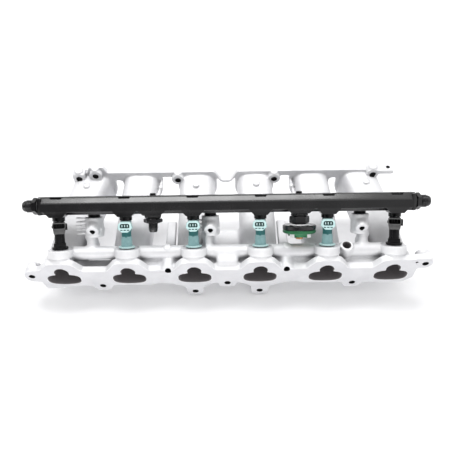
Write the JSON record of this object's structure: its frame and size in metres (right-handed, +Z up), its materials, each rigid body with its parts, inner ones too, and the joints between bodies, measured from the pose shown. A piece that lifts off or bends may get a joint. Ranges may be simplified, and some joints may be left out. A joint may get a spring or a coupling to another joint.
{
  "type": "intake manifold",
  "caption": "Cast aluminium lower intake manifold with long runners between two flanges, carrying a black fuel rail, top-feed injectors and a pulsation damper.",
  "frame": {"origin": "on the head flange face, midway between ports 3 and 4, at the mid height of the ports", "axes": "+X along the engine from cylinder 1 to cylinder 6, +Y from the head flange to the plenum flange, +Z up, the injector side"},
  "size_m": [0.571, 0.159, 0.1457],
  "materials": {
    "cast_aluminium": "bead-blasted casting, pale grey-white, satin",
    "black_anodised": "satin black anodised billet",
    "steel": "plain steel, lightly brushed",
    "teal_plastic": "moulded, satin",
    "black_plastic": "moulded, fine grain",
    "green_anodised": "dark green anodised",
    "rubber": "matt black fluoro rubber",
    "brass": "plain turned brass"
  },
  "bodies": {
    "manifold": {"manifold_casting": "cast_aluminium", "fuel_rail": "black_anodised", "rail_end_fitting_left": "black_anodised", "rail_end_fitting_right": "black_anodised", "rail_end_seal_left": "rubber", "rail_end_seal_right": "rubber", "return_port_fitting": "black_anodised", "return_port_seal": "rubber", "rail_spacer_1": "black_anodised", "rail_spacer_2": "black_anodised", "rail_spacer_3": "black_anodised", "rail_bolt_1": "steel", "rail_bolt_2": "steel", "rail_bolt_3": "steel", "damper_adapter": "black_anodised", "damper_upper_case": "black_anodised", "damper_lower_case": "green_anodised", "damper_adjuster": "brass", "damper_seal": "rubber", "damper_spring": "steel"},
    "injector_1": {"injector_1_body": "steel", "injector_1_housing": "black_plastic", "injector_1_upper_seal": "rubber", "injector_1_lower_seal": "rubber"},
    "needle_1": {"injector_1_needle": "steel"},
    "injector_2": {"injector_2_body": "steel", "injector_2_housing": "teal_plastic", "injector_2_upper_seal": "rubber", "injector_2_lower_seal": "rubber"},
    "needle_2": {"injector_2_needle": "steel"},
    "injector_3": {"injector_3_body": "steel", "injector_3_housing": "teal_plastic", "injector_3_upper_seal": "rubber", "injector_3_lower_seal": "rubber"},
    "needle_3": {"injector_3_needle": "steel"},
    "injector_4": {"injector_4_body": "steel", "injector_4_housing": "teal_plastic", "injector_4_upper_seal": "rubber", "injector_4_lower_seal": "rubber"},
    "needle_4": {"injector_4_needle": "steel"},
    "injector_5": {"injector_5_body": "steel", "injector_5_housing": "teal_plastic", "injector_5_upper_seal": "rubber", "injector_5_lower_seal": "rubber"},
    "needle_5": {"injector_5_needle": "steel"},
    "injector_6": {"injector_6_body": "steel", "injector_6_housing": "black_plastic", "injector_6_upper_seal": "rubber", "injector_6_lower_seal": "rubber"},
    "needle_6": {"injector_6_needle": "steel"},
    "diaphragm": {"damper_diaphragm": "steel"}
  },
  "joints": [
    {"name": "injector_1_swivel", "type": "hinge", "parent": "manifold", "child": "injector_1", "pos_m": [-0.2325, 0, 0.012], "axis": [0, 0.7071, 0.7071], "range_deg": [-43, 7]},
    {"name": "injector_1_needle_lift", "type": "slide", "parent": "injector_1", "child": "needle_1", "axis": [0, 0.7071, 0.7071], "range_m": [0, 0.0001]},
    {"name": "injector_2_swivel", "type": "hinge", "parent": "manifold", "child": "injector_2", "pos_m": [-0.1395, 0, 0.012], "axis": [0, 0.7071, 0.7071], "range_deg": [-30, 20]},
    {"name": "injector_2_needle_lift", "type": "slide", "parent": "injector_2", "child": "needle_2", "axis": [0, 0.7071, 0.7071], "range_m": [0, 0.0001]},
    {"name": "injector_3_swivel", "type": "hinge", "parent": "manifold", "child": "injector_3", "pos_m": [-0.0465, 0, 0.012], "axis": [0, 0.7071, 0.7071], "range_deg": [-27, 23]},
    {"name": "injector_3_needle_lift", "type": "slide", "parent": "injector_3", "child": "needle_3", "axis": [0, 0.7071, 0.7071], "range_m": [0, 0.0001]},
    {"name": "injector_4_swivel", "type": "hinge", "parent": "manifold", "child": "injector_4", "pos_m": [0.0465, 0, 0.012], "axis": [0, 0.7071, 0.7071], "range_deg": [-18, 32]},
    {"name": "injector_4_needle_lift", "type": "slide", "parent": "injector_4", "child": "needle_4", "axis": [0, 0.7071, 0.7071], "range_m": [0, 0.0001]},
    {"name": "injector_5_swivel", "type": "hinge", "parent": "manifold", "child": "injector_5", "pos_m": [0.1395, 0, 0.012], "axis": [0, 0.7071, 0.7071], "range_deg": [-4, 33]},
    {"name": "injector_5_needle_lift", "type": "slide", "parent": "injector_5", "child": "needle_5", "axis": [0, 0.7071, 0.7071], "range_m": [0, 0.0001]},
    {"name": "injector_6_swivel", "type": "hinge", "parent": "manifold", "child": "injector_6", "pos_m": [0.2325, 0, 0.012], "axis": [0, 0.7071, 0.7071], "range_deg": [-7, 43]},
    {"name": "injector_6_needle_lift", "type": "slide", "parent": "injector_6", "child": "needle_6", "axis": [0, 0.7071, 0.7071], "range_m": [0, 0.0001]},
    {"name": "damper_diaphragm_travel", "type": "slide", "parent": "manifold", "child": "diaphragm", "axis": [0, 0.7071, 0.7071], "range_m": [-0.0003, 0.0006]}
  ]
}
